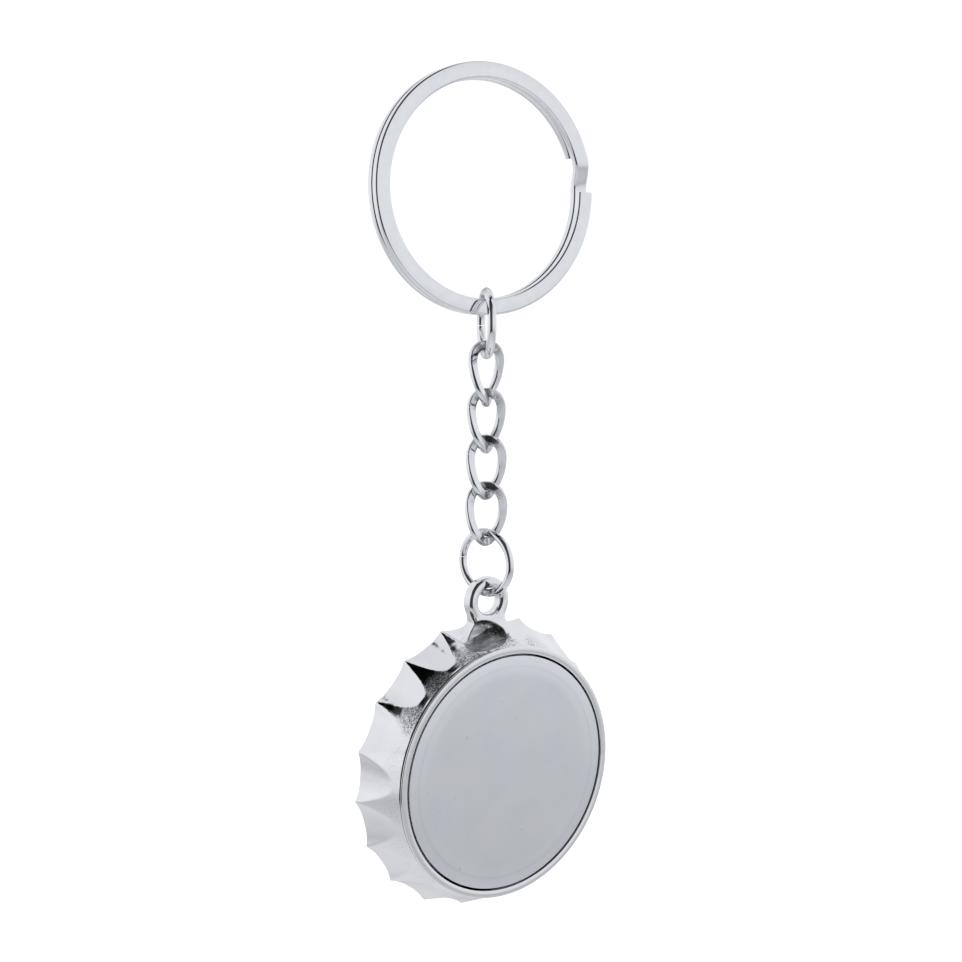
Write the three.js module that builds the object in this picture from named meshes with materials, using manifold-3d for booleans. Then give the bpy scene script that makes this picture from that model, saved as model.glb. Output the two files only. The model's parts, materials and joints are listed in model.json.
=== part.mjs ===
// Keychain bottle opener: a split ring, a jump ring, four curb chain links, a second jump ring
// and a die-cast opener in the form of a fluted bottle cap, with a metal disc glued in its face.
// Millimetres, +Z up. The origin is the top of the split ring's bore, the point it hangs from.
// The opener's face looks along -Y and its hollow opener side along +Y. Everything hangs straight
// down the Z axis, each loop resting on the one above it.

import * as THREE from "three";
import { mergeVertices } from "three/addons/utils/BufferGeometryUtils.js";
import Module from "manifold-3d";

const wasm = await Module();
wasm.setup();

// ---------------------------------------------------------------- driving dimensions
const HANG_GAP = 0.08; // left between two loops where one hangs on the other
const HANG_X = 0.33; // the chain hangs this far to the right of the split ring's lowest point

const RING_OUTER_R = 15; // split ring
const RING_STRIP_WIDTH = 2; // radial width of its flat wire
const RING_STRIP_THICKNESS = 1.12;
const RING_COIL_PITCH = 1.24; // from the middle of one coil to the middle of the other
const RING_YAW = -6.6; // degrees about Z
const RING_FRONT_END = 1; // degrees above the ring's right-hand side
const RING_CROSSOVER = 17; // degrees of arc that the wire takes to change coils
const RING_REAR_END = 19.5; // degrees above the right-hand side
const RING_STEPS_PER_TURN = 56;

const TOP_JUMP = { outerR: 4.4, wireR: 0.55, yaw: 64, seam: -5 };
const LOW_JUMP = { outerR: 4.35, wireR: 0.5, yaw: -76, seam: 174 };
const SEAM_GAP = 0.12; // open butt joint of each jump ring and link
const JUMP_STEPS = 36;

const LINK_LENGTH = 8.2; // over the wire
const LINK_WIDTH = 5.6; // over the wire, before the twist
const LINK_WIRE_R = 0.58;
const LINK_TWIST = 68; // degrees from the bottom of a link to its top
const LINK_YAWS = [14, 4, -4, -12]; // degrees, middle of each link, top link first
const LINK_STEPS = 32;
const LINK_SEAM = 155; // degrees round the link from its right-hand side
const LINK_SQUARENESS = 2.3; // 2 is an ellipse, more is fuller at the corners

const WIRE_SIDES = 8;

const DISC_R = 14.8;
const DISC_THICKNESS = 0.8;
const PAD_R = 14;
const PAD_THICKNESS = 0.2;
const RECESS_R = 15.05;
const FACE_TO_HANG_LINE = 4.8; // from the disc's face back to the vertical line everything hangs on
const RIM_PROUD = 0.12; // how far the rim stands in front of the disc
const RIM_R = 16;
const RIM_EDGE = 0.1; // how far the rim's two edges are eased
const RIM_DEPTH = 0.15; // where the rim ends and the skirt starts, behind the disc's face
const RIM_FOOT_R = 15.93;
const BODY_DEPTH = 6; // from the disc's face to the rear edge
const SKIRT_R = 18.85; // over the flutes' tips, at the rear edge
const FLUTES = 19;
const FLUTE_START = 1.3; // where the scallops run out, behind the disc's face
const FLUTE_DEPTH = 0.78; // at the rear edge
const STEPS_PER_FLUTE = 6;
const WEB_THICKNESS = 1;
const CAVITY_FLOOR_R = 14.9;
const CAVITY_MOUTH_R = 16.5; // takes a standard 32 mm bottle cap
const LIP_THICKNESS = 1.4;
const LIP_EDGE_R = 20; // the lip's hooking edge is an arc of this radius
const LIP_EDGE_Z = -11; // its middle, from the opener's centre

const EYELET_Z = 21.05; // from the opener's centre to the hole's centre
const EYELET_HOLE_R = 1.65;
const EYELET_OUTER_R = 3.1;
const EYELET_THICKNESS = 2;
const EYELET_EDGE_R = 0.35;
const NECK_WIDTH = 5.4;
const NECK_FOOT_DEPTH = 1.35; // where the neck's sloping front meets the skirt
const SCOOP_HALF = [2.9, 1.8, 1.25]; // half sizes of the scoop in front of the neck
const SCOOP_AT = [-1.95, 2.3, 17.3]; // its middle: across, behind the disc's face, up from the centre

// ---------------------------------------------------------------- heights down the chain
// Each loop's bore top rests on the bottom of the bore above it, so a loop's middle is half a bore
// below that seat.
const hang = (seatZ, halfBore, rise = 0) => seatZ + HANG_GAP + rise - halfBore;
const sagitta = (radius, half) => radius - Math.sqrt(radius ** 2 - half ** 2);

const ringBoreR = RING_OUTER_R - RING_STRIP_WIDTH;
const topJumpBoreR = TOP_JUMP.outerR - 2 * TOP_JUMP.wireR;
const linkHalfBore = LINK_LENGTH / 2 - 2 * LINK_WIRE_R;
const lowJumpBoreR = LOW_JUMP.outerR - 2 * LOW_JUMP.wireR;

// A round loop meets the square-edged strip at its corners, and the eyelet at its rounded edges.
const stripHalf = (RING_COIL_PITCH + RING_STRIP_THICKNESS) / 2;
const eyeletFlatHalf = EYELET_THICKNESS / 2 - EYELET_EDGE_R;

const ringZ = -ringBoreR;
const topJumpZ = hang(ringZ - ringBoreR, topJumpBoreR, sagitta(topJumpBoreR, stripHalf));
const firstLinkZ = hang(topJumpZ - topJumpBoreR, linkHalfBore);
const linkPitch = 2 * linkHalfBore - HANG_GAP;
const lastLinkZ = firstLinkZ - (LINK_YAWS.length - 1) * linkPitch;
const lowJumpZ = hang(lastLinkZ - linkHalfBore, lowJumpBoreR);
const eyeletRise = sagitta(lowJumpBoreR, eyeletFlatHalf);
const openerZ = hang(lowJumpZ - lowJumpBoreR, EYELET_Z + EYELET_HOLE_R, eyeletRise);

// ---------------------------------------------------------------- helpers
const deg = THREE.MathUtils.degToRad;

class Path extends THREE.Curve {
  constructor(pointAt) {
    super();
    this.pointAt = pointAt;
    this.arcLengthDivisions = 800;
  }
  getPoint(t, target = new THREE.Vector3()) {
    return target.copy(this.pointAt(t));
  }
}

function chamferedRectangle(width, height, cut) {
  const x = width / 2;
  const y = height / 2;
  const shape = new THREE.Shape();
  shape.moveTo(x, -y + cut);
  shape.lineTo(x, y - cut);
  shape.lineTo(x - cut, y);
  shape.lineTo(-x + cut, y);
  shape.lineTo(-x, y - cut);
  shape.lineTo(-x, -y + cut);
  shape.lineTo(-x + cut, -y);
  shape.lineTo(x - cut, -y);
  shape.closePath();
  return shape;
}

function polygon(radius, sides) {
  const points = [];
  for (let i = 0; i < sides; i += 1) {
    const a = (2 * Math.PI * (i + 0.5)) / sides;
    points.push(new THREE.Vector2(radius * Math.cos(a), radius * Math.sin(a)));
  }
  return new THREE.Shape(points);
}

function sweep(section, path, steps) {
  return new THREE.ExtrudeGeometry(section, { steps, curveSegments: 1, extrudePath: path });
}

// The closed solid of a geometry, for cutting and joining.
function solid(geometry) {
  const bare = geometry.index ? geometry.toNonIndexed() : geometry.clone();
  bare.deleteAttribute("normal");
  bare.deleteAttribute("uv");
  const merged = mergeVertices(bare, 1e-5);
  const index = merged.index.array;
  const kept = [];
  for (let i = 0; i < index.length; i += 3) {
    const [a, b, c] = [index[i], index[i + 1], index[i + 2]];
    if (a !== b && b !== c && c !== a) kept.push(a, b, c);
  }
  return new wasm.Manifold(
    new wasm.Mesh({
      numProp: 3,
      vertProperties: new Float32Array(merged.attributes.position.array),
      triVerts: new Uint32Array(kept),
    }),
  );
}

function geometryOf(manifold) {
  const mesh = manifold.getMesh();
  const geometry = new THREE.BufferGeometry();
  geometry.setAttribute("position", new THREE.BufferAttribute(new Float32Array(mesh.vertProperties), 3));
  geometry.setIndex(new THREE.BufferAttribute(new Uint32Array(mesh.triVerts), 1));
  geometry.computeVertexNormals();
  return geometry;
}

function metal(color, roughness) {
  return new THREE.MeshStandardMaterial({ color, roughness, metalness: 1 });
}

const chrome = metal(0xdfe2e6, 0.08);
const brushed = metal(0xbfc3ca, 0.35);
const adhesive = new THREE.MeshStandardMaterial({ color: 0x2a2b2d, roughness: 0.9, metalness: 0 });

function piece(name, geometry, material) {
  const mesh = new THREE.Mesh(geometry, material);
  mesh.name = name;
  return mesh;
}

// ---------------------------------------------------------------- split ring
// Nearly two turns of flat wire. It runs round the front coil, steps back behind its own front end
// and runs round the rear coil.
function splitRing() {
  const middleR = RING_OUTER_R - RING_STRIP_WIDTH / 2;
  const sweepAngle = 720 - (RING_REAR_END - RING_FRONT_END);
  const crossoverStart = 360 - RING_CROSSOVER;
  const path = new Path((t) => {
    const turned = t * sweepAngle;
    const a = deg(RING_FRONT_END - turned);
    const step = THREE.MathUtils.smootherstep(turned, crossoverStart, 360);
    return new THREE.Vector3(
      middleR * Math.cos(a),
      (step - 0.5) * RING_COIL_PITCH,
      middleR * Math.sin(a),
    );
  });
  const section = chamferedRectangle(RING_STRIP_THICKNESS, RING_STRIP_WIDTH, 0.22);
  const steps = Math.round((RING_STEPS_PER_TURN * sweepAngle) / 360);
  const ring = piece("split_ring", sweep(section, path, steps), chrome);
  ring.rotation.z = deg(RING_YAW);
  ring.position.z = ringZ;
  return ring;
}

// ---------------------------------------------------------------- jump rings
function jumpRing(name, { outerR, wireR, yaw, seam }, z) {
  const middleR = outerR - wireR;
  const seamAngle = SEAM_GAP / middleR;
  const path = new Path((t) => {
    const a = deg(seam) + seamAngle / 2 + t * (2 * Math.PI - seamAngle);
    return new THREE.Vector3(middleR * Math.cos(a), 0, middleR * Math.sin(a));
  });
  const ring = piece(name, sweep(polygon(wireR, WIRE_SIDES), path, JUMP_STEPS), chrome);
  ring.rotation.z = deg(yaw);
  ring.position.set(HANG_X, 0, z);
  return ring;
}

// ---------------------------------------------------------------- curb chain links
// An oval loop, twisted about its long axis so that its two ends cross.
function chainLink(name, yaw, z) {
  const halfWidth = LINK_WIDTH / 2 - LINK_WIRE_R;
  const halfLength = LINK_LENGTH / 2 - LINK_WIRE_R;
  const power = 2 / LINK_SQUARENESS;
  const fuller = (v) => Math.sign(v) * Math.abs(v) ** power;
  const seamAngle = SEAM_GAP / halfWidth;
  const path = new Path((t) => {
    const a = deg(LINK_SEAM) + seamAngle / 2 + t * (2 * Math.PI - seamAngle);
    const across = halfWidth * fuller(Math.cos(a));
    const up = halfLength * fuller(Math.sin(a));
    const twist = (deg(LINK_TWIST) / 2) * -Math.sin(a);
    return new THREE.Vector3(across * Math.cos(twist), across * Math.sin(twist), up);
  });
  const link = piece(name, sweep(polygon(LINK_WIRE_R, WIRE_SIDES), path, LINK_STEPS), chrome);
  link.rotation.z = deg(yaw);
  link.position.set(HANG_X, 0, z);
  return link;
}

// ---------------------------------------------------------------- opener
// Radius of the skirt at a depth behind the face and an angle from the nearest flute's tip.
function skirtRadius(depth, fromTip) {
  const along = (depth - RIM_DEPTH) / (BODY_DEPTH - RIM_DEPTH);
  const cone = RIM_FOOT_R + (SKIRT_R - RIM_FOOT_R) * along;
  const scallop = FLUTE_DEPTH * Math.max(0, (depth - FLUTE_START) / (BODY_DEPTH - FLUTE_START));
  const fromMiddle = 1 - Math.abs(fromTip) / (Math.PI / FLUTES);
  return cone - Math.max(0, scallop - FLUTE_DEPTH * fromMiddle ** 2);
}

function openerShell() {
  const recessFloor = DISC_THICKNESS + PAD_THICKNESS;
  const cavityFloor = recessFloor + WEB_THICKNESS;
  const inner = [
    [0, recessFloor],
    [RECESS_R, recessFloor],
    [RECESS_R, 0],
    [RECESS_R + RIM_EDGE, -RIM_PROUD],
    [RIM_R - RIM_EDGE, -RIM_PROUD],
    [RIM_R, 0],
    [RIM_R, 0.06],
  ];
  const skirtRows = 5;
  const skirt = [];
  for (let i = 0; i <= skirtRows; i += 1) {
    skirt.push([SKIRT_R, RIM_DEPTH + ((BODY_DEPTH - RIM_DEPTH) * i) / skirtRows]);
  }
  const rear = [
    [CAVITY_MOUTH_R, BODY_DEPTH],
    [CAVITY_FLOOR_R, cavityFloor],
    [0, cavityFloor],
  ];
  const profile = [...inner, ...skirt, ...rear].map(([r, y]) => new THREE.Vector2(r, y));
  const shell = new THREE.LatheGeometry(profile, FLUTES * STEPS_PER_FLUTE);
  const position = shell.attributes.position;
  const rows = profile.length;
  for (let i = 0; i < position.count; i += 1) {
    const row = i % rows;
    if (row < inner.length || row >= inner.length + skirt.length) continue;
    const angle = (2 * Math.PI * Math.floor(i / rows)) / (FLUTES * STEPS_PER_FLUTE);
    const pitch = (2 * Math.PI) / FLUTES;
    const fromTip = angle - pitch * Math.round(angle / pitch);
    const r = skirtRadius(position.getY(i), fromTip);
    position.setXYZ(i, r * Math.sin(angle), position.getY(i), r * Math.cos(angle));
  }
  return shell;
}

// The crescent that hooks under a bottle cap's edge, across the lower part of the hollow.
function openerLip() {
  const wallR = CAVITY_MOUTH_R + 0.4;
  const edgeCentre = LIP_EDGE_Z + LIP_EDGE_R;
  const meetZ = (wallR ** 2 - LIP_EDGE_R ** 2 + edgeCentre ** 2) / (2 * edgeCentre);
  const meetX = Math.sqrt(wallR ** 2 - meetZ ** 2);
  const wallEnd = Math.atan2(meetZ, meetX);
  const edgeEnd = Math.atan2(meetZ - edgeCentre, meetX);
  const shape = new THREE.Shape();
  shape.absarc(0, 0, wallR, -Math.PI - wallEnd, wallEnd, false);
  shape.absarc(0, edgeCentre, LIP_EDGE_R, edgeEnd, -Math.PI - edgeEnd, true);
  const lip = new THREE.ExtrudeGeometry(shape, {
    depth: LIP_THICKNESS,
    bevelEnabled: false,
    curveSegments: 24,
  });
  lip.rotateX(Math.PI / 2);
  lip.translate(0, BODY_DEPTH, 0);
  return lip;
}

function eyelet() {
  const half = EYELET_THICKNESS / 2;
  const e = EYELET_EDGE_R;
  const corners = [
    [EYELET_OUTER_R - e, half - e, 0],
    [EYELET_HOLE_R + e, half - e, 90],
    [EYELET_HOLE_R + e, -half + e, 180],
    [EYELET_OUTER_R - e, -half + e, 270],
  ];
  const profile = [];
  for (const [r, y, start] of corners) {
    for (const turn of [0, 45, 90]) {
      const a = deg(start + turn);
      profile.push(new THREE.Vector2(r + e * Math.cos(a), y + e * Math.sin(a)));
    }
  }
  profile.push(profile[0].clone());
  const ring = new THREE.LatheGeometry(profile, 32);
  ring.translate(0, FACE_TO_HANG_LINE, EYELET_Z);
  return ring;
}

// The wedge between the eyelet and the skirt. Its front slopes down to the rim.
function neck() {
  const top = EYELET_Z - EYELET_HOLE_R - 0.25;
  const foot = RIM_FOOT_R - 0.2;
  const front = FACE_TO_HANG_LINE - EYELET_THICKNESS / 2;
  const side = new THREE.Shape();
  side.moveTo(NECK_FOOT_DEPTH, foot);
  side.lineTo(BODY_DEPTH, foot);
  side.lineTo(BODY_DEPTH, top);
  side.lineTo(front + 0.1, top);
  side.closePath();
  const wedge = new THREE.ExtrudeGeometry(side, { depth: NECK_WIDTH, bevelEnabled: false });
  wedge.translate(0, 0, -NECK_WIDTH / 2);
  wedge.rotateY(Math.PI / 2);
  wedge.rotateX(Math.PI / 2);
  return wedge;
}

function neckScoop() {
  const scoop = new THREE.SphereGeometry(1, 24, 16);
  scoop.scale(...SCOOP_HALF);
  scoop.translate(...SCOOP_AT);
  return scoop;
}

function openerBody() {
  const added = [openerLip(), eyelet(), neck()];
  const joined = added.reduce((body, part) => body.add(solid(part)), solid(openerShell()));
  return piece("opener_body", geometryOf(joined.subtract(solid(neckScoop()))), chrome);
}

// A flat round part turned from its half outline.
function turnedPlate(name, outline, steps, material) {
  const profile = outline.map(([r, depth]) => new THREE.Vector2(r, depth));
  return piece(name, new THREE.LatheGeometry(profile, steps), material);
}

function adhesivePad() {
  const back = DISC_THICKNESS + PAD_THICKNESS;
  const outline = [
    [0, DISC_THICKNESS],
    [PAD_R, DISC_THICKNESS],
    [PAD_R, back],
    [0, back],
  ];
  return turnedPlate("adhesive_pad", outline, 48, adhesive);
}

function faceDisc() {
  const outline = [
    [0, 0],
    [DISC_R - 0.12, 0],
    [DISC_R, 0.12],
    [DISC_R, DISC_THICKNESS],
    [0, DISC_THICKNESS],
  ];
  return turnedPlate("face_disc", outline, 96, brushed);
}

// ---------------------------------------------------------------- assembly
const opener = new THREE.Group();
opener.position.set(HANG_X, -FACE_TO_HANG_LINE, openerZ);
opener.add(openerBody(), adhesivePad(), faceDisc());

const links = LINK_YAWS.map((yaw, i) => chainLink(`chain_link_${i + 1}`, yaw, firstLinkZ - i * linkPitch));

const keychain = new THREE.Group();
keychain.add(
  splitRing(),
  jumpRing("top_jump_ring", TOP_JUMP, topJumpZ),
  ...links,
  jumpRing("lower_jump_ring", LOW_JUMP, lowJumpZ),
  opener,
);

export default keychain;
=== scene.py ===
import json
import math

import bmesh
import bpy
from mathutils import Matrix, Vector


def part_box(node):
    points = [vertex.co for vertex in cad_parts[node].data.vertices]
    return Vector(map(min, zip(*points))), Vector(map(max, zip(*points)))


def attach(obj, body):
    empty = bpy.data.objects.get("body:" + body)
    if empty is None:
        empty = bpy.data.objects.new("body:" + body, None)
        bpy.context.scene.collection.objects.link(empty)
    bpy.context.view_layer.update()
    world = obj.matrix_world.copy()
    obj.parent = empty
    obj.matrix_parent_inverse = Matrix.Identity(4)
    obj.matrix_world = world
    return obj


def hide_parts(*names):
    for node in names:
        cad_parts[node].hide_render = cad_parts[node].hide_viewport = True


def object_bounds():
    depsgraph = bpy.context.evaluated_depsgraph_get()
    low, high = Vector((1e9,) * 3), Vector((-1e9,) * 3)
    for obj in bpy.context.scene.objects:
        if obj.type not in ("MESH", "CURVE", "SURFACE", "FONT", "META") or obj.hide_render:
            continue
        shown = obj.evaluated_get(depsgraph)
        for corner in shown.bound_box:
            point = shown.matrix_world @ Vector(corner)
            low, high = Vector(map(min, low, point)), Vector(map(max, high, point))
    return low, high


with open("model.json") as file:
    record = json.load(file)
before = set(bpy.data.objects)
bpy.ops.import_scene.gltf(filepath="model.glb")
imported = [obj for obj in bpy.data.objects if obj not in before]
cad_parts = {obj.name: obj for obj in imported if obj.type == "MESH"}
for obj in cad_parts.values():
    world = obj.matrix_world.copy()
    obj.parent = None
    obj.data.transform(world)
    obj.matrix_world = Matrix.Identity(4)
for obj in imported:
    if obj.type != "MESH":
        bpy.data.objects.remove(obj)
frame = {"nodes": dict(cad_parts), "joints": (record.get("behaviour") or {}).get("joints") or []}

cad_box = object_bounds()

# A keychain bottle opener hanging from its split ring: a top jump ring, four curb chain links, a
# lower jump ring and a die-cast opener in the form of a fluted bottle cap with a metal disc in its
# face. The scene is in metres. Sizes below are in millimetres, and MM turns them into metres.

MM = 0.001


# ---------------------------------------------------------------- sizes, as in the part
RING_OUTER_R = 15
STRIP_WIDTH = 2
STRIP_THICKNESS = 1.12
STRIP_EDGE_R = 0.32
COIL_PITCH = 1.24
RING_YAW = -6.6
RING_FRONT_END = 1
RING_CROSSOVER = 17
RING_REAR_END = 19.5

JUMP_RINGS = {
    "top_jump_ring": {"outer_r": 4.4, "wire_r": 0.55, "yaw": 64, "seam": -5},
    "lower_jump_ring": {"outer_r": 4.35, "wire_r": 0.5, "yaw": -76, "seam": 174},
}
LINK_LENGTH = 8.2
LINK_WIDTH = 5.6
LINK_WIRE_R = 0.58
LINK_TWIST = 68
LINK_YAWS = [14, 4, -4, -12]
LINK_SEAM = 155
LINK_SQUARENESS = 2.3
LINK_FLAT = 0.72  # how thick the rolled wire is left, as a share of its diameter
SEAM_GAP = 0.12
LINK_SEAM_GAP = 0.015

DISC_R = 14.8
DISC_THICKNESS = 0.8
RECESS_R = 15.05
RECESS_DEPTH = 1.0
RIM_R = 16
RIM_PROUD = 0.12
RIM_DEPTH = 0.15
RIM_FOOT_R = 15.93
BODY_DEPTH = 6
SKIRT_R = 18.85
SKIRT_FLARE = 0.12  # how much steeper the skirt gets from front to rear, as a share
FLUTES = 19
FLUTE_START = 1.3
FLUTE_DEPTH = 0.78
FLUTE_SQUARENESS = 2.5
CAVITY_FLOOR = 2
CAVITY_FLOOR_R = 14.9
CAVITY_MOUTH_R = 16.5
LIP_THICKNESS = 1.4
LIP_EDGE_R = 20
LIP_EDGE_Z = -11

EYELET_Z = 21.05
EYELET_DEPTH = 4.8
EYELET_HOLE_R = 1.65
EYELET_OUTER_R = 3.1
EYELET_THICKNESS = 2
EYELET_EDGE_R = 0.7
NECK_FRONT = (2.7, 17.75)  # a point on the neck's sloping front: depth, height
NECK_SLOPE = (-0.73, 0.68)  # the normal of that front: depth, height
NECK_WIDTH = 4.6
NECK_LEG_SPREAD = 1.5  # how far each leg stands out at its foot
NECK_LEG_TOP = 18.6
NECK_LEG_FOOT = 16.4
NECK_MELT = 0.8  # over what distance the eyelet and its neck run into each other
SCOOP_AT = (-1.95, 2.3, 0.45)  # across, depth and height over the skirt of the scoop's middle
SCOOP_HALF = (2.9, 1.8, 1.25)  # its half sizes in the same order

WIRE_POINTS = 180  # along each wire loop
WIRE_SIDES = 44
STRIP_POINTS = 560  # along the split ring
STEPS_PER_FLUTE = 30
FLUTE_BLEND = 0.07  # how softly a flute's edge turns into the cone
MOUTH_EASE = 0.12  # how far the hollow's edge is eased
LIP_STEPS = 60
LIP_EDGE_ROUND = 0.25
DISC_EDGE = 0.1  # how far the disc's edge is rounded
PRESSED_RING_INSET = 1.35  # from the disc's edge in to the fine ring pressed in its face


# The opener's own centre: the middle of its disc, in the plane of the disc's face.
disc_low, disc_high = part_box("face_disc")
OPENER = Vector(((disc_low.x + disc_high.x) / 2, disc_low.y, (disc_low.z + disc_high.z) / 2))
OPENER_MIDDLE = tuple(OPENER / MM)


# ---------------------------------------------------------------- node trees written as sums
class Signal:
    """One output in a node tree. Arithmetic on it adds the Math nodes."""

    def __init__(self, tree, socket=None):
        self.tree = tree
        self.socket = socket

    def node(self, kind, sockets=None, output=0, **settings):
        """Any other node: its settings are set first, then each socket's value or link."""
        made = self.tree.nodes.new(kind)
        for name, value in settings.items():
            if name == "stops":
                set_stops(made.color_ramp, value)
            else:
                setattr(made, name, value)
        for key, value in (sockets or {}).items():
            if isinstance(value, Signal):
                self.tree.links.new(value.socket, made.inputs[key])
            else:
                made.inputs[key].default_value = value
        return Signal(self.tree, made.outputs[output])

    def also(self, output):
        """Another output of the same node."""
        return Signal(self.tree, self.socket.node.outputs[output])

    def math(self, operation, *others):
        sockets = dict(enumerate([self, *others]))
        return self.node("ShaderNodeMath", sockets, operation=operation)

    def __add__(self, other):
        return self.math("ADD", other)

    def __radd__(self, other):
        return self.math("ADD", other)

    def __sub__(self, other):
        return self.math("SUBTRACT", other)

    def __rsub__(self, other):
        return self.node("ShaderNodeMath", {0: other, 1: self}, operation="SUBTRACT")

    def __mul__(self, other):
        return self.math("MULTIPLY", other)

    def __rmul__(self, other):
        return self.math("MULTIPLY", other)

    def __truediv__(self, other):
        return self.math("DIVIDE", other)

    def __pow__(self, other):
        return self.math("POWER", other)

    def __neg__(self):
        return self.math("MULTIPLY", -1.0)

    def __abs__(self):
        return self.math("ABSOLUTE")


def set_stops(ramp, stops):
    while len(ramp.elements) < len(stops):
        ramp.elements.new(1.0)
    for element, (position, value) in zip(ramp.elements, stops):
        element.position = position
        element.color = (value, value, value, 1) if isinstance(value, (int, float)) else (*value, 1)


def smooth_between(value, low, high):
    """0 below low, 1 above high, and a smooth slope between them. Low may be the larger."""
    sockets = {"Value": value, "From Min": low, "From Max": high}
    return value.node("ShaderNodeMapRange", sockets, interpolation_type="SMOOTHSTEP")


def length_of(a, b):
    return (a * a + b * b).math("SQRT")


def power_with_sign(value, power):
    return value.math("SIGN") * abs(value) ** power


def three_parts(vector):
    """The X, Y and Z of a vector."""
    x = vector.node("ShaderNodeSeparateXYZ", {"Vector": vector})
    return x, x.also("Y"), x.also("Z")


def skirt_cut(depth, angle):
    """How far a flute is cut into the skirt's cone, in mm. Below zero the cone is left whole."""
    scallop = FLUTE_DEPTH * ((depth - FLUTE_START) / (BODY_DEPTH - FLUTE_START)).math("MAXIMUM", 0.0)
    from_tip = angle.math("PINGPONG", math.pi / FLUTES)
    from_middle = 1 - from_tip / (math.pi / FLUTES)
    return scallop - FLUTE_DEPTH * from_middle ** FLUTE_SQUARENESS


def soft_skirt_cut(depth, angle):
    """The same cut with a softened edge, and zero where the cone is whole."""
    return skirt_cut(depth, angle).math("SMOOTH_MAX", 0.0, FLUTE_BLEND)


def skirt_cone(depth):
    """The radius of the uncut skirt, which flares a little towards the rear edge."""
    along = (depth - RIM_DEPTH) / (BODY_DEPTH - RIM_DEPTH)
    return RIM_FOOT_R + (SKIRT_R - RIM_FOOT_R) * (along + SKIRT_FLARE * along * (along - 1))


def off_scoop(x, depth, radius):
    """Distance in mm from the round scoop between the neck's foot and the rim."""
    across = (x - SCOOP_AT[0]) / SCOOP_HALF[0]
    along = (depth - SCOOP_AT[1]) / SCOOP_HALF[1]
    up = (radius - skirt_cone(depth) - SCOOP_AT[2]) / SCOOP_HALF[2]
    return (length_of(length_of(across, along), up) - 1) * SCOOP_HALF[2]


# ---------------------------------------------------------------- geometry node trees
def new_tree(name, inputs):
    """An empty tree with a geometry input and the named inputs, and a Signal for each input."""
    tree = bpy.data.node_groups.new(name, "GeometryNodeTree")
    tree.is_modifier = True
    face = tree.interface
    face.new_socket("Geometry", in_out="OUTPUT", socket_type="NodeSocketGeometry")
    face.new_socket("Geometry", in_out="INPUT", socket_type="NodeSocketGeometry")
    for socket_name, kind in inputs.items():
        face.new_socket(socket_name, in_out="INPUT", socket_type=f"NodeSocket{kind}")
    group_input = tree.nodes.new("NodeGroupInput")
    signals = {s.name: Signal(tree, s) for s in group_input.outputs if s.name}
    return tree, signals


def close_tree(tree, shape):
    """Ends a tree in smooth shading, Realize Instances and Set Material."""
    start = Signal(tree)
    smooth = start.node("GeometryNodeSetShadeSmooth", {"Geometry": shape})
    real = start.node("GeometryNodeRealizeInstances", {"Geometry": smooth})
    finish = next(n for n in tree.nodes if n.bl_idname == "NodeGroupInput").outputs["Material"]
    coated = start.node(
        "GeometryNodeSetMaterial", {"Geometry": real, "Material": Signal(tree, finish)}
    )
    output = tree.nodes.new("NodeGroupOutput")
    tree.links.new(coated.socket, output.inputs["Geometry"])


def run_tree(name, tree, values, start=None, sharp=40):
    """Runs a tree on a carrier object and returns the result as one plain mesh object."""
    carrier = bpy.data.objects.new(name + "_carrier", start or bpy.data.meshes.new(name + "_start"))
    bpy.context.scene.collection.objects.link(carrier)
    modifier = carrier.modifiers.new("shape", "NODES")
    modifier.node_group = tree
    identifiers = {i.name: i.identifier for i in tree.interface.items_tree if i.in_out == "INPUT"}
    for socket_name, value in values.items():
        modifier[identifiers[socket_name]] = value
    bpy.context.view_layer.update()
    graph = bpy.context.evaluated_depsgraph_get()
    mesh = bpy.data.meshes.new_from_object(carrier.evaluated_get(graph))
    carrier.modifiers.remove(modifier)
    bpy.data.objects.remove(carrier)
    return plain_piece(name, mesh, sharp)


def plain_piece(name, mesh, sharp=40):
    """Merges doubles, turns the faces outwards and links the mesh as an object at the origin."""
    mesh.name = name
    work = bmesh.new()
    work.from_mesh(mesh)
    bmesh.ops.remove_doubles(work, verts=work.verts, dist=0.002 * MM)
    bmesh.ops.dissolve_degenerate(work, edges=work.edges, dist=0.0005 * MM)
    bmesh.ops.recalc_face_normals(work, faces=work.faces)
    work.to_mesh(mesh)
    work.free()
    mesh.polygons.foreach_set("use_smooth", [True] * len(mesh.polygons))
    mesh.set_sharp_from_angle(angle=math.radians(sharp))
    made = bpy.data.objects.new(name, mesh)
    bpy.context.scene.collection.objects.link(made)
    return made


def spread_points(start, count):
    """A straight run of points as a curve, and how far along it each point lies from 0 to 1."""
    line = start.node("GeometryNodeCurvePrimitiveLine")
    points = start.node("GeometryNodeResampleCurve", {"Curve": line, "Count": count})
    return points, start.node("GeometryNodeSplineParameter")


def place_points(points, x, y, z):
    position = points.node("ShaderNodeCombineXYZ", {"X": x, "Y": y, "Z": z})
    return points.node("GeometryNodeSetPosition", {"Geometry": points, "Position": position})


def put_in_place(shape, yaw, place):
    turn = shape.node("ShaderNodeCombineXYZ", {"Z": yaw})
    return shape.node(
        "GeometryNodeTransform", {"Geometry": shape, "Rotation": turn, "Translation": place}
    )


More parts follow.
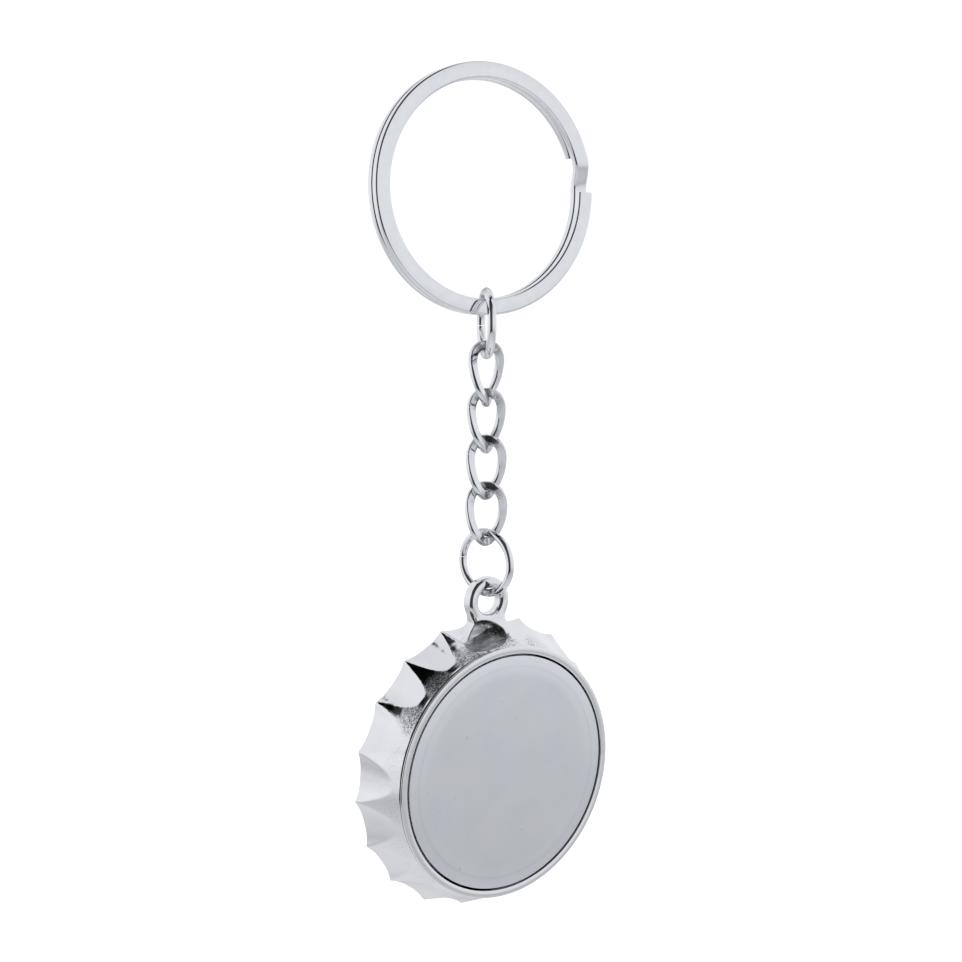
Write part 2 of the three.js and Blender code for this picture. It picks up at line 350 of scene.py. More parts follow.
def wire_loop_tree():
    """A loop of round wire, round or oval, with a twist about its long axis and a butt seam."""
    tree, size = new_tree(
        "wire_loop",
        {
            "Half width": "Float",
            "Half length": "Float",
            "Roundness": "Float",
            "Twist": "Float",
            "Seam": "Float",
            "Seam gap": "Float",
            "Wire radius": "Float",
            "Half flat": "Float",
            "Yaw": "Float",
            "Place": "Vector",
            "Material": "Material",
        },
    )
    start = Signal(tree)
    points, along = spread_points(start, WIRE_POINTS)
    around = size["Seam"] + size["Seam gap"] / 2 + along * (2 * math.pi - size["Seam gap"])
    across = size["Half width"] * power_with_sign(around.math("COSINE"), size["Roundness"])
    height = size["Half length"] * power_with_sign(around.math("SINE"), size["Roundness"])
    twist = -0.5 * size["Twist"] * around.math("SINE")
    centre_line = place_points(
        points, across * twist.math("COSINE"), across * twist.math("SINE"), height
    )
    across_plane = start.node(
        "ShaderNodeCombineXYZ", {"X": -twist.math("SINE"), "Y": twist.math("COSINE")}
    )
    upright = start.node(
        "GeometryNodeSetCurveNormal", {"Curve": centre_line, "Normal": across_plane}, mode="FREE"
    )
    circle = start.node(
        "GeometryNodeCurvePrimitiveCircle", {"Resolution": WIRE_SIDES, "Radius": size["Wire radius"]}
    )
    x, y, _ = three_parts(start.node("GeometryNodeInputPosition"))
    edge = size["Wire radius"] * 0.16
    pressed = x.math("SMOOTH_MIN", size["Half flat"], edge)
    pressed = pressed.math("SMOOTH_MAX", -size["Half flat"], edge)
    section = place_points(circle, pressed, y, 0.0)
    wire = start.node(
        "GeometryNodeCurveToMesh", {"Curve": upright, "Profile Curve": section, "Fill Caps": True}
    )
    close_tree(tree, put_in_place(wire, size["Yaw"], size["Place"]))
    return tree


def coiled_strip_tree():
    """Nearly two turns of flat wire, which steps from the front coil to the rear one."""
    tree, size = new_tree(
        "coiled_strip",
        {
            "Middle radius": "Float",
            "Strip width": "Float",
            "Strip thickness": "Float",
            "Edge radius": "Float",
            "Coil pitch": "Float",
            "Front end": "Float",
            "Sweep": "Float",
            "Crossover": "Float",
            "Yaw": "Float",
            "Place": "Vector",
            "Material": "Material",
        },
    )
    start = Signal(tree)
    points, along = spread_points(start, STRIP_POINTS)
    turned = along * size["Sweep"]
    step = start.node(
        "ShaderNodeMapRange",
        {"Value": turned, "From Min": 2 * math.pi - size["Crossover"], "From Max": 2 * math.pi},
        interpolation_type="SMOOTHERSTEP",
    )
    angle = size["Front end"] - turned
    coil = place_points(
        points,
        size["Middle radius"] * angle.math("COSINE"),
        (step - 0.5) * size["Coil pitch"],
        size["Middle radius"] * angle.math("SINE"),
    )
    upright = start.node(
        "GeometryNodeSetCurveNormal", {"Curve": coil, "Normal": (0.0, 1.0, 0.0)}, mode="FREE"
    )
    oblong = start.node(
        "GeometryNodeCurvePrimitiveQuadrilateral",
        {"Width": size["Strip thickness"], "Height": size["Strip width"]},
    )
    section = start.node(
        "GeometryNodeFilletCurve",
        {"Curve": oblong, "Radius": size["Edge radius"], "Count": 5},
        mode="POLY",
    )
    strip = start.node(
        "GeometryNodeCurveToMesh", {"Curve": upright, "Profile Curve": section, "Fill Caps": True}
    )
    close_tree(tree, put_in_place(strip, size["Yaw"], size["Place"]))
    return tree


OUTLINE_VALUES = ("reach", "depth", "skirt")  # what each point of an outline carries


def turned_tree():
    """A half outline turned about the opener's axis, with flutes cut where the outline is skirt."""
    tree, size = new_tree(
        "turned_and_fluted",
        {"Steps": "Int", "Flute share": "Float", "Place": "Vector", "Material": "Material"},
    )
    start = Signal(tree)
    circle = start.node(
        "GeometryNodeCurvePrimitiveCircle", {"Resolution": size["Steps"], "Radius": 1.0}
    )
    outline = start.node("GeometryNodeMeshToCurve", {"Mesh": size["Geometry"]})
    turned = start.node("GeometryNodeCurveToMesh", {"Curve": circle, "Profile Curve": outline})
    x, y, _ = three_parts(start.node("GeometryNodeInputPosition"))
    radius, depth, skirt = [
        start.node("GeometryNodeInputNamedAttribute", {"Name": name}, data_type="FLOAT")
        for name in OUTLINE_VALUES
    ]
    angle = x.math("ARCTAN2", y)
    reach = (radius - soft_skirt_cut(depth, angle) * skirt * size["Flute share"]) * MM
    shaped = place_points(turned, reach * angle.math("SINE"), depth * MM, reach * angle.math("COSINE"))
    close_tree(tree, put_in_place(shaped, 0.0, size["Place"]))
    return tree


def cast_eyelet_tree():
    """The eyelet, its neck and the scoop in front of the neck, melted together as one casting.

    A block of space is filled where the distance to the shape is below zero, in mm from the
    opener's centre, and its boundary becomes the surface.
    """
    tree, size = new_tree(
        "cast_eyelet",
        {
            "Hole radius": "Float",
            "Outer radius": "Float",
            "Thickness": "Float",
            "Edge radius": "Float",
            "Neck width": "Float",
            "Melt": "Float",
            "Place": "Vector",
            "Material": "Material",
        },
    )
    start = Signal(tree)
    x, depth, z = three_parts(start.node("GeometryNodeInputPosition"))

    def melt(a, b, share=1.0, way="SMOOTH_MIN"):
        return a.math(way, b, size["Melt"] * share)

    def rounded_box(across, along, half_across, half_along, edge):
        out_across = abs(across) - (half_across - edge)
        out_along = abs(along) - (half_along - edge)
        outside = length_of(out_across.math("MAXIMUM", 0.0), out_along.math("MAXIMUM", 0.0))
        inside = out_across.math("MAXIMUM", out_along).math("MINIMUM", 0.0)
        return outside + inside - edge

    middle_r = (size["Hole radius"] + size["Outer radius"]) / 2
    from_ring = length_of(x, z - EYELET_Z) - middle_r
    half_band = (size["Outer radius"] - size["Hole radius"]) / 2
    ring = rounded_box(
        from_ring, depth - EYELET_DEPTH, half_band, size["Thickness"] / 2, size["Edge radius"]
    )

    # The neck is a wedge whose front slopes from the eyelet down to the skirt and whose sides flare
    # into two legs.
    off_front = (depth - NECK_FRONT[0]) * NECK_SLOPE[0] + (z - NECK_FRONT[1]) * NECK_SLOPE[1]
    legs = NECK_LEG_SPREAD * smooth_between(z, NECK_LEG_TOP, NECK_LEG_FOOT)
    sides = abs(x) - (size["Neck width"] / 2 + legs)
    top = z - (EYELET_Z - EYELET_HOLE_R - 0.12)
    rear = depth - (BODY_DEPTH - 0.1)
    front = melt(sides, off_front, 0.8, "SMOOTH_MAX")
    cast = melt(ring, melt(front, melt(rear, top, 0.6, "SMOOTH_MAX"), 0.6, "SMOOTH_MAX"))

    # Melted onto the skirt, which lies a hair under the skirt's own surface, then scooped out.
    axis_r = length_of(x, z)
    angle = x.math("ARCTAN2", z)
    skirt = (axis_r - (skirt_cone(depth) - soft_skirt_cut(depth, angle) - 0.06)) * 0.88
    cast = melt(cast, skirt, 1.3)
    cast = melt(cast, -off_scoop(x, depth, axis_r), 0.5, "SMOOTH_MAX")

    # It stays clear of the hollow, the rim and the rear edge, and of the next flutes.
    widening = (CAVITY_MOUTH_R - CAVITY_FLOOR_R) * (depth - CAVITY_FLOOR)
    hollow = 0.45 + CAVITY_FLOOR_R + widening / (BODY_DEPTH - CAVITY_FLOOR)
    cast = cast.math("MAXIMUM", hollow - axis_r)
    cast = cast.math("MAXIMUM", RIM_DEPTH + 0.5 - depth)
    cast = cast.math("MAXIMUM", depth - (BODY_DEPTH - 0.04))
    cast = cast.math("MAXIMUM", abs(x) - 5.2)
    block = start.node(
        "GeometryNodeVolumeCube",
        {
            "Density": -cast,
            "Background": -1.0,
            "Min": (-5.6, 0.4, 15.0),
            "Max": (5.6, 6.6, 24.6),
            "Resolution X": 150,
            "Resolution Y": 84,
            "Resolution Z": 130,
        },
    )
    skin = start.node(
        "GeometryNodeVolumeToMesh", {"Volume": block, "Threshold": 0.0}, resolution_mode="GRID"
    )
    small = start.node("GeometryNodeTransform", {"Geometry": skin, "Scale": (MM, MM, MM)})
    close_tree(tree, put_in_place(small, 0.0, size["Place"]))
    return tree


# ---------------------------------------------------------------- outlines
def smooth_line(points, steps):
    """A smooth line through the points, with the given number of steps between each two."""
    line = []
    ends = [points[0], *points, points[-1]]
    for before, a, b, after in zip(ends, ends[1:], ends[2:], ends[3:]):
        for i in range(steps):
            t = i / steps
            weights = (
                -0.5 * t + t * t - 0.5 * t ** 3,
                1 - 2.5 * t * t + 1.5 * t ** 3,
                0.5 * t + 2 * t * t - 1.5 * t ** 3,
                -0.5 * t * t + 0.5 * t ** 3,
            )
            corners = (before, a, b, after)
            line.append(tuple(sum(w * c[k] for w, c in zip(weights, corners)) for k in (0, 1)))
    return [*line, points[-1]]


def straight_line(start, end, steps):
    return [
        (start[0] + (end[0] - start[0]) * i / steps, start[1] + (end[1] - start[1]) * i / steps)
        for i in range(steps + 1)
    ]


def outline_mesh(name, rows):
    """An open outline as a mesh of edges. Each row is radius, depth and how much it is skirt."""
    mesh = bpy.data.meshes.new(name)
    points = [(r * MM, depth * MM, 0) for r, depth, _ in rows]
    mesh.from_pydata(points, [(i, i + 1) for i in range(len(rows) - 1)], [])
    for key, attribute in enumerate(OUTLINE_VALUES):
        values = mesh.attributes.new(attribute, "FLOAT", "POINT").data
        values.foreach_set("value", [float(row[key]) for row in rows])
    return mesh


def plain_rows(points):
    return [(r, depth, 0) for r, depth in points]


# ---------------------------------------------------------------- finishes
def new_finish(name):
    """A node material, its shader node and the place in mm."""
    material = bpy.data.materials.new(name)
    material.use_nodes = True
    shader = material.node_tree.nodes["Principled BSDF"]
    start = Signal(material.node_tree)
    place = start.node("ShaderNodeTexCoord", output="Object")
    place = start.node("ShaderNodeVectorMath", {0: place, "Scale": 1 / MM}, operation="SCALE")
    return material, shader, place


def feed(shader, socket, signal):
    shader.id_data.links.new(signal.socket, shader.inputs[socket])


def noise(place, scale, detail=2.0, roughness=0.5, stretch=(1, 1, 1)):
    stretched = place.node(
        "ShaderNodeVectorMath", {0: place, 1: tuple(s * scale for s in stretch)}, operation="MULTIPLY"
    )
    return place.node(
        "ShaderNodeTexNoise",
        {"Vector": stretched, "Scale": 1.0, "Detail": detail, "Roughness": roughness},
    )


def blended(factor, dark, light):
    """A colour between two colours."""
    made = factor.node("ShaderNodeMix", {"Factor": factor}, output=2, data_type="RGBA")
    inputs = made.socket.node.inputs
    for socket, value in zip((inputs[6], inputs[7]), (dark, light)):
        if isinstance(value, Signal):
            factor.tree.links.new(value.socket, socket)
        else:
            socket.default_value = (*value, 1)
    return made


def bumps(height, strength, distance):
    return height.node(
        "ShaderNodeBump", {"Height": height, "Strength": strength, "Distance": distance}
    )


def from_opener(place):
    """Across, depth and height of the place from the opener's centre."""
    return three_parts(
        place.node("ShaderNodeVectorMath", {0: place, 1: OPENER_MIDDLE}, operation="SUBTRACT")
    )


def chrome_wire_finish(name, contact_shade_strength):
    """Bright nickel-chrome plate on drawn wire, with small dull patches.

    The second argument sets how dark the painted shade gets where one loop bears on the next.
    """
    material, shader, place = new_finish(name)
    cloud = noise(place, 0.9, 3)
    fine = noise(place, 14, 2)
    plate = blended(smooth_between(cloud, 0.3, 0.7), (0.885, 0.895, 0.92), (0.925, 0.935, 0.955))
    contact = None
    for joint in frame["joints"]:
        point = tuple(v / MM for v in joint["pos_m"])
        reach = place.node(
            "ShaderNodeVectorMath", {0: place, 1: point}, output=1, operation="DISTANCE"
        )
        contact = reach if contact is None else contact.math("MINIMUM", reach)
    # Painted shade: close to each joint, where one loop bears on the next and shade falls between
    # them, the plate is darkened towards near-black. Noise breaks the shade up.
    shade_breakup = smooth_between(noise(place, 1.6, 3, 0.6), 0.36, 0.56)
    painted_contact_shade = contact_shade_strength * smooth_between(contact, 2.6, 0.8) * (0.25 + 0.75 * shade_breakup)
    plate = blended(painted_contact_shade, plate, (0.10, 0.105, 0.11))
    feed(shader, "Base Color", plate)
    dull = 0.04 * smooth_between(cloud, 0.5, 0.75) + 0.12 * painted_contact_shade
    feed(shader, "Roughness", 0.04 + 0.03 * fine + dull)
    feed(shader, "Normal", bumps(fine + 2 * noise(place, 2.2, 2), 0.06, 0.00001))
    shader.inputs["Metallic"].default_value = 1.0
    return material


def chrome_casting_finish(name):
    """Chrome on a die casting: polished on the flutes and the rim, rough where no wheel reached."""
    material, shader, place = new_finish(name)
    x, depth, z = from_opener(place)
    radius = length_of(x, z)
    angle = x.math("ARCTAN2", z)

    on_web = smooth_between(skirt_cut(depth, angle), 0.02, -0.10)
    on_skirt = smooth_between(radius, RIM_R - 0.02, RIM_R + 0.05) * smooth_between(depth, 0.25, 0.4)
    near_rim = smooth_between(depth, 3.2, 1.2)
    upper = 0.15 + 0.85 * smooth_between(z, 4.0, 10.0) * smooth_between(x, 7.0, 2.0)
    rough_cast = on_web * on_skirt * near_rim * upper
    grain = noise(place, 5.0, 3, 0.65)
    pits = smooth_between(grain, 0.47, 0.57) * rough_cast
    # Painted shade: the scoop under the neck is darkened almost to black and streaked, with more dark
    # specks towards the right and the top.
    in_scoop = smooth_between(off_scoop(x, depth, radius), 0.16, 0.03) * smooth_between(z, 13.0, 14.0)
    streaks = smooth_between(noise(place, 1, 3, 0.6, (0.5, 1.6, 1.6)), 0.38, 0.62)
    specks = smooth_between(noise(place, 4.5, 2, 0.6), 0.34, 0.44)
    darker = smooth_between(x + 0.9 * (z - 16.5), -1.8, 0.6)
    scoop_painted_shade = in_scoop * (0.30 + 0.25 * streaks + 0.45 * darker * specks)
    # Painted shade: a dark line is painted in the crease where the rim's outer edge turns into the
    # skirt.
    groove_shade = smooth_between(depth, 0.06, 0.11) * smooth_between(depth, 0.26, 0.20)
    groove_shade = groove_shade * smooth_between(radius, RIM_R - 0.5, RIM_R - 0.3)
    groove_shade = groove_shade * smooth_between(radius, RIM_R + 0.08, RIM_R + 0.02)

    cloud = noise(place, 0.5, 3)
    plate = blended(smooth_between(cloud, 0.3, 0.75), (0.90, 0.905, 0.92), (0.93, 0.935, 0.95))
    plate = blended(pits * 0.8, plate, (0.08, 0.08, 0.085))
    plate = blended(scoop_painted_shade, plate, (0.05, 0.055, 0.055))
    plate = blended(groove_shade * 0.8, plate, (0.05, 0.05, 0.055))
    feed(shader, "Base Color", plate)
    dull = 0.16 * rough_cast + 0.20 * in_scoop
    feed(shader, "Roughness", 0.045 + 0.04 * smooth_between(cloud, 0.5, 0.75) + dull)
    height = noise(place, 0.42, 2) * 2.2 + grain * rough_cast * 0.9
    feed(shader, "Normal", bumps(height, 0.35, 0.00006))
    shader.inputs["Metallic"].default_value = 1.0
    return material


def satin_disc_finish(name):
    """Brushed steel disc: fine upright lines, soft dull clouds, a few small specks."""
    material, shader, place = new_finish(name)
    lines = noise(place, 1, 3, 0.6, (9, 9, 0.10))
    bands = noise(place, 1, 2, 0.5, (0.55, 0.55, 0.03))
    cloud = noise(place, 0.22, 3)
    specks = smooth_between(noise(place, 1.6, 3, 0.6), 0.70, 0.76)
    tone = blended(smooth_between(cloud, 0.3, 0.7), (0.89, 0.91, 0.95), (0.93, 0.945, 0.98))
    tone = blended(smooth_between(bands, 0.35, 0.7) * 0.3, tone, (0.92, 0.93, 0.95))
    tone = blended(specks * 0.35, tone, (0.30, 0.31, 0.33))
    x, _, z = from_opener(place)
    from_edge = DISC_R - length_of(x, z)
    pressed_ring = smooth_between(abs(from_edge - PRESSED_RING_INSET), 0.28, 0.05)
    tone = blended(pressed_ring * 0.10, tone, (0.45, 0.46, 0.50))
    feed(shader, "Base Color", tone)
    feed(shader, "Roughness", 0.30 + 0.10 * lines + 0.06 * cloud)
    feed(shader, "Normal", bumps(lines, 0.10, 0.00002))
    shader.inputs["Metallic"].default_value = 1.0
    shader.inputs["Anisotropic"].default_value = 0.4
    return material


def adhesive_finish(name):
    """Dark foam tape under the disc."""
    material, shader, place = new_finish(name)
    pores = noise(place, 6, 3)
    feed(shader, "Base Color", blended(pores, (0.012, 0.012, 0.013), (0.05, 0.05, 0.052)))
    feed(shader, "Roughness", 0.8 + 0.15 * pores)
    feed(shader, "Normal", bumps(pores, 0.4, 0.00005))
    return material


# The second number sets how dark the painted shade at the joints gets.
ring_chrome = chrome_wire_finish("chrome_ring", 0.1)
chain_chrome = chrome_wire_finish("chrome_chain", 0.75)
cast_chrome = chrome_casting_finish("chrome_casting")
satin_steel = satin_disc_finish("satin_disc")
foam_tape = adhesive_finish("adhesive_film")


# ---------------------------------------------------------------- the chain
def finished(piece, body, slot, *nodes):
    """Lets a piece ride on its body and stand for its CAD nodes."""
    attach(piece, body)
    if nodes:
        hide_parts(*nodes)
    return piece


ring_low, ring_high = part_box("split_ring")
ring_place = (0.0, 0.0, (ring_low.z + ring_high.z) / 2)
split_ring = run_tree(
    "split_ring_wire",
    coiled_strip_tree(),
    {
        "Middle radius": (RING_OUTER_R - STRIP_WIDTH / 2) * MM,
        "Strip width": STRIP_WIDTH * MM,
        "Strip thickness": STRIP_THICKNESS * MM,
        "Edge radius": STRIP_EDGE_R * MM,
        "Coil pitch": COIL_PITCH * MM,
        "Front end": math.radians(RING_FRONT_END),
        "Sweep": math.radians(720 - (RING_REAR_END - RING_FRONT_END)),
        "Crossover": math.radians(RING_CROSSOVER),
        "Yaw": math.radians(RING_YAW),
        "Place": ring_place,
        "Material": ring_chrome,
    },
)
finished(split_ring, "split_ring", "chrome_wire", "split_ring")

loop_tree = wire_loop_tree()


def wire_loop(
    node, half_width, half_length, wire_r, yaw, seam, gap=SEAM_GAP, flat=2.0, roundness=1.0, twist=0.0
):
    """A jump ring or a link. Flat is the half thickness left of the wire, as a share of its radius;
    above 1 the wire stays round."""
    low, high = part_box(node)
    place = (OPENER.x, 0.0, (low.z + high.z) / 2)
    values = {
        "Half width": half_width * MM,
        "Half length": half_length * MM,
        "Roundness": roundness,
        "Twist": math.radians(twist),
        "Seam": math.radians(seam),
        "Seam gap": gap / half_width,
        "Wire radius": wire_r * MM,
        "Half flat": flat * wire_r * MM,
        "Yaw": math.radians(yaw),
        "Place": place,
        "Material": chain_chrome,
    }
    loop = run_tree(f"{node}_wire", loop_tree, values, sharp=50)
    return finished(loop, node, "chrome_wire", node)


for node, ring in JUMP_RINGS.items():
    middle_r = ring["outer_r"] - ring["wire_r"]
    wire_loop(node, middle_r, middle_r, ring["wire_r"], ring["yaw"], ring["seam"])

for i, yaw in enumerate(LINK_YAWS):
    wire_loop(
        f"chain_link_{i + 1}",
        LINK_WIDTH / 2 - LINK_WIRE_R,
        LINK_LENGTH / 2 - LINK_WIRE_R,
        LINK_WIRE_R,
        yaw,
        LINK_SEAM,
        gap=LINK_SEAM_GAP,
        flat=LINK_FLAT,
        roundness=2 / LINK_SQUARENESS,
        twist=LINK_TWIST,
    )


# ---------------------------------------------------------------- the opener
turned = turned_tree()
opener_place = tuple(OPENER)


def shell_rows():
    """The cast shell's outline, from the recess under the disc to the hollow's floor."""
    recess = straight_line((0, RECESS_DEPTH), (RECESS_R - 0.1, RECESS_DEPTH), 3)
    rim = smooth_line(
        [
            (RECESS_R, RECESS_DEPTH - 0.1),
            (RECESS_R, 0.06),
            (RECESS_R + 0.03, 0.0),
            (RECESS_R + 0.12, 0.06 - RIM_PROUD),
            (RECESS_R + 0.4, -RIM_PROUD),
            (RIM_R - 0.24, 0.01 - RIM_PROUD),
            (RIM_R - 0.08, 0.05 - RIM_PROUD),
            (RIM_R - 0.01, 0.03),
            (RIM_R - 0.02, 0.09),
            (RIM_R - 0.09, 0.13),
            (RIM_R - 0.10, 0.17),
            (RIM_FOOT_R + 0.06, 0.24),
        ],
        4,
    )
    first, last, steps = RIM_DEPTH + 0.3, BODY_DEPTH - 0.12, 36
    depths = [first + (last - first) * i / steps for i in range(steps + 1)]
    cone = [(skirt_cone(depth), depth) for depth in depths]
    brim = [(SKIRT_R - 0.03, BODY_DEPTH - 0.03), (SKIRT_R - 0.12, BODY_DEPTH)]
    rear = straight_line((SKIRT_R - 0.3, BODY_DEPTH), (CAVITY_MOUTH_R + MOUTH_EASE, BODY_DEPTH), 4)
    hollow = [(CAVITY_MOUTH_R, BODY_DEPTH - 0.1)]
    hollow += straight_line(
        (CAVITY_MOUTH_R - 0.1, BODY_DEPTH - 0.4), (CAVITY_FLOOR_R + 0.12, CAVITY_FLOOR + 0.3), 5
    )
    hollow += [(CAVITY_FLOOR_R - 0.1, CAVITY_FLOOR + 0.05)]
    hollow += straight_line((CAVITY_FLOOR_R - 0.5, CAVITY_FLOOR), (0, CAVITY_FLOOR), 3)
    rows = plain_rows([*recess, *rim])
    rows += [(r, depth, 1) for r, depth in [*cone, *brim]]
    mouth = CAVITY_MOUTH_R + MOUTH_EASE
    rows += [(r, depth, (r - mouth) / (SKIRT_R - mouth)) for r, depth in rear]
    return rows + plain_rows(hollow)


shell = run_tree(
    "opener_shell",
    turned,
    {
        "Steps": FLUTES * STEPS_PER_FLUTE,
        "Flute share": 1.0,
        "Place": opener_place,
        "Material": cast_chrome,
    },
    start=outline_mesh("shell_outline", shell_rows()),
    sharp=55,
)
finished(shell, "opener", "chrome_casting", "opener_body")

eyelet = run_tree(
    "opener_eyelet",
    cast_eyelet_tree(),
    {
        "Hole radius": EYELET_HOLE_R,
        "Outer radius": EYELET_OUTER_R,
        "Thickness": EYELET_THICKNESS,
        "Edge radius": EYELET_EDGE_R,
        "Neck width": NECK_WIDTH,
        "Melt": NECK_MELT,
        "Place": opener_place,
        "Material": cast_chrome,
    },
    sharp=60,
)
finished(eyelet, "opener", "chrome_casting")


def opener_lip():
    """The crescent that hooks under a bottle cap's edge, across the lower part of the hollow."""
    wall_r = CAVITY_MOUTH_R + 0.3
    edge_centre = LIP_EDGE_Z + LIP_EDGE_R
    meet_z = (wall_r ** 2 - LIP_EDGE_R ** 2 + edge_centre ** 2) / (2 * edge_centre)
    meet_x = math.sqrt(wall_r ** 2 - meet_z ** 2)
    wall_end = math.atan2(meet_z, meet_x)
    edge_end = math.atan2(meet_z - edge_centre, meet_x)
    ring = []
    for i in range(LIP_STEPS + 1):
        a = -math.pi - wall_end + (math.pi + 2 * wall_end) * i / LIP_STEPS
        ring.append((wall_r * math.cos(a), wall_r * math.sin(a)))
    for i in range(1, LIP_STEPS):
        a = edge_end + (-math.pi - 2 * edge_end) * i / LIP_STEPS
        ring.append((LIP_EDGE_R * math.cos(a), edge_centre + LIP_EDGE_R * math.sin(a)))
    depths = (BODY_DEPTH - LIP_THICKNESS, BODY_DEPTH - 0.02)
    work = bmesh.new()
    layers = [
        [work.verts.new(OPENER + Vector((x, depth, z)) * MM) for x, z in ring] for depth in depths
    ]
    work.faces.new(layers[0])
    work.faces.new(layers[1])
    for i in range(len(ring)):
        j = (i + 1) % len(ring)
        work.faces.new([layers[0][i], layers[0][j], layers[1][j], layers[1][i]])
    bmesh.ops.recalc_face_normals(work, faces=work.faces)
    edges = [e for e in work.edges if e.calc_face_angle() > math.radians(60)]
    bmesh.ops.bevel(
        work, geom=edges, offset=LIP_EDGE_ROUND * MM, segments=4, affect="EDGES", profile=0.5
    )
    mesh = bpy.data.meshes.new("opener_lip")
    work.to_mesh(mesh)
    work.free()
    mesh.materials.append(cast_chrome)
    return plain_piece("opener_lip", mesh, 35)


finished(opener_lip(), "opener", "chrome_casting")

disc_rows = plain_rows(
    [
        *straight_line((0, 0), (DISC_R - DISC_EDGE, 0), 6),
        (DISC_R - 0.04, 0.02),
        (DISC_R, DISC_EDGE),
        (DISC_R, DISC_THICKNESS),
        (DISC_R - 1, DISC_THICKNESS),
        (0, DISC_THICKNESS),
    ]
)
disc = run_tree(
    "satin_face_disc",
    turned,
    {"Steps": 360, "Flute share": 0.0, "Place": opener_place, "Material": satin_steel},
    start=outline_mesh("disc_outline", disc_rows),
    sharp=30,
)
finished(disc, "opener", "satin_disc", "face_disc")

pad = frame["nodes"]["adhesive_pad"]
for material_slot in pad.material_slots:
    material_slot.material = foam_tape


# ---------------------------------------------------------------- floor, light and camera
def stage_object(name, mesh, material):
    made = bpy.data.objects.new(name, mesh)
    bpy.context.scene.collection.objects.link(made)
    mesh.materials.append(material)
    return made


def bare_mesh(name, make, **sizes):
    """A mesh filled by one of the bmesh shape makers."""
    work = bmesh.new()
    make(work, **sizes)
    mesh = bpy.data.meshes.new(name)
    work.to_mesh(mesh)
    work.free()
    return mesh


def floor_finish():
    material, shader, place = new_finish("pale_floor")
    patches = noise(place, 0.01, 2)
    feed(shader, "Base Color", blended(patches, (0.93, 0.93, 0.935), (0.97, 0.97, 0.975)))
    shader.inputs["Roughness"].default_value = 0.9
    return material


# How bright the tent's cloth is from straight below to straight above.
CLOTH_STOPS = [
    (0, 0.76),
    (0.08, 0.72),
    (0.17, 0.62),
    (0.27, 0.54),
    (0.32, 0.62),
    (0.38, 0.80),
    (0.45, 0.84),
    (0.5, 0.88),
    (0.58, 0.88),
    (0.66, 0.84),
    (0.87, 0.84),
    (0.96, 0.76),
    (1, 0.75),
]
GAP_AZIMUTH = -60  # which way the upright gap lies, in degrees
TENT_RADIUS = 1.5  # in metres, as are the next two
FLOOR_HALF_WIDTH = 6
FLOOR_BELOW = 0.03
TENT_COLOUR = (0.955, 0.97, 1.0, 1)


def tent_finish():
    """The light tent that the chrome mirrors: white cloth, a grey front and a few black gaps."""
    material = bpy.data.materials.new("tent_cloth")
    material.use_nodes = True
    tree = material.node_tree
    tree.nodes.clear()
    start = Signal(tree)
    place = start.node("ShaderNodeTexCoord", output="Object")
    way = start.node("ShaderNodeVectorMath", {0: place}, operation="NORMALIZE")
    x, y, z = three_parts(way)
    cloth = start.node("ShaderNodeValToRGB", {"Fac": z * 0.5 + 0.5}, stops=CLOTH_STOPS)
    light = cloth * (1 - 0.08 * smooth_between(y, -0.2, -0.8))

    # A dark upright gap in front, round the camera.
    gap_way = math.radians(GAP_AZIMUTH)
    along = x * math.sin(gap_way) - y * math.cos(gap_way)
    aside = x * math.cos(gap_way) + y * math.sin(gap_way)
    upright_gap = smooth_between(aside, -0.43, -0.39) * smooth_between(aside, 0.66, 0.56)
    upright_gap = upright_gap * smooth_between(along, 0.02, 0.12)
    upright_gap = upright_gap * smooth_between(z, -0.50, -0.40)
    # A dark gap overhead, running from left to right.
    far_edge = 0.21 - 0.45 * (x + 0.24) ** 2
    overhead = smooth_between(y, far_edge + 0.03, far_edge - 0.02) * smooth_between(y, -0.20, -0.15)
    overhead = overhead * smooth_between(x, -0.92, -0.86) * smooth_between(x, 0.66, 0.56)
    overhead = overhead * smooth_between(z, 0.46, 0.54)
    light = light * (1 - 0.93 * upright_gap) * (1 - 0.97 * overhead)
    emission = start.node("ShaderNodeEmission", {"Color": TENT_COLOUR, "Strength": light})
    output = tree.nodes.new("ShaderNodeOutputMaterial")
    tree.links.new(emission.socket, output.inputs["Surface"])
    return material


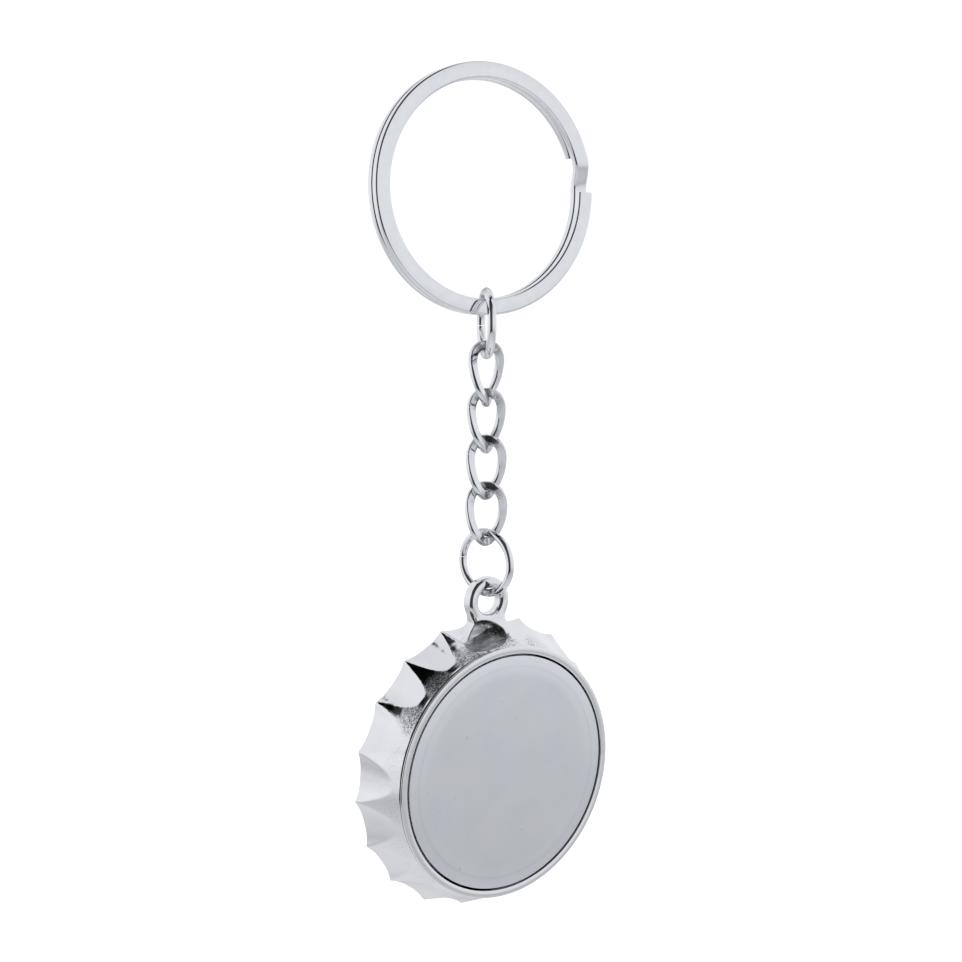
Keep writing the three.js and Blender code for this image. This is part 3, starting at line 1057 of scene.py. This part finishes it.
floor_mesh = bare_mesh(
    "floor", bmesh.ops.create_grid, x_segments=8, y_segments=8, size=FLOOR_HALF_WIDTH
)
floor_mesh.transform(Matrix.Translation((0, 0, cad_box[0].z - FLOOR_BELOW)))
floor = stage_object("pale_floor", floor_mesh, floor_finish())
floor.visible_glossy = False

tent_mesh = bare_mesh(
    "tent", bmesh.ops.create_uvsphere, u_segments=96, v_segments=48, radius=TENT_RADIUS
)
tent = stage_object("light_tent", tent_mesh, tent_finish())
tent.visible_camera = False
tent.visible_diffuse = False
tent.visible_shadow = False

world = bpy.data.worlds.new("white_room")
world.use_nodes = True
room_light = world.node_tree.nodes["Background"].inputs
room_light["Color"].default_value = (1, 1, 1, 1)
room_light["Strength"].default_value = 1.1
bpy.context.scene.world = world


def soft_lamp(name, place, size, power):
    lamp = bpy.data.lights.new(name, "AREA")
    lamp.size = size
    lamp.energy = power
    made = bpy.data.objects.new(name, lamp)
    made.location = place
    aim = Vector((0, 0, (cad_box[0].z + cad_box[1].z) / 2)) - Vector(place)
    made.rotation_euler = aim.to_track_quat("-Z", "Y").to_euler()
    made.visible_glossy = False
    bpy.context.scene.collection.objects.link(made)


soft_lamp("top_light", (-0.2, -0.2, 0.6), 0.6, 3)

VIEW_AZIMUTH = -35.922
VIEW_ELEVATION = 7.322
VIEW_DISTANCE = 0.17024
LOOK_AT = Vector((0.0, 0.00067, -0.04852))

azimuth = math.radians(VIEW_AZIMUTH)
elevation = math.radians(VIEW_ELEVATION)
back = Vector(
    (
        math.sin(azimuth) * math.cos(elevation),
        -math.cos(azimuth) * math.cos(elevation),
        math.sin(elevation),
    )
)
lens = bpy.data.cameras.new("camera")
lens.lens = 51.1
lens.sensor_width = 36
lens.clip_start = 0.005
camera = bpy.data.objects.new("camera", lens)
camera.location = LOOK_AT + back * VIEW_DISTANCE
camera.rotation_euler = (math.pi / 2 - elevation, 0, azimuth)
bpy.context.scene.collection.objects.link(camera)
bpy.context.scene.camera = camera
bpy.context.scene.view_settings.view_transform = "Standard"
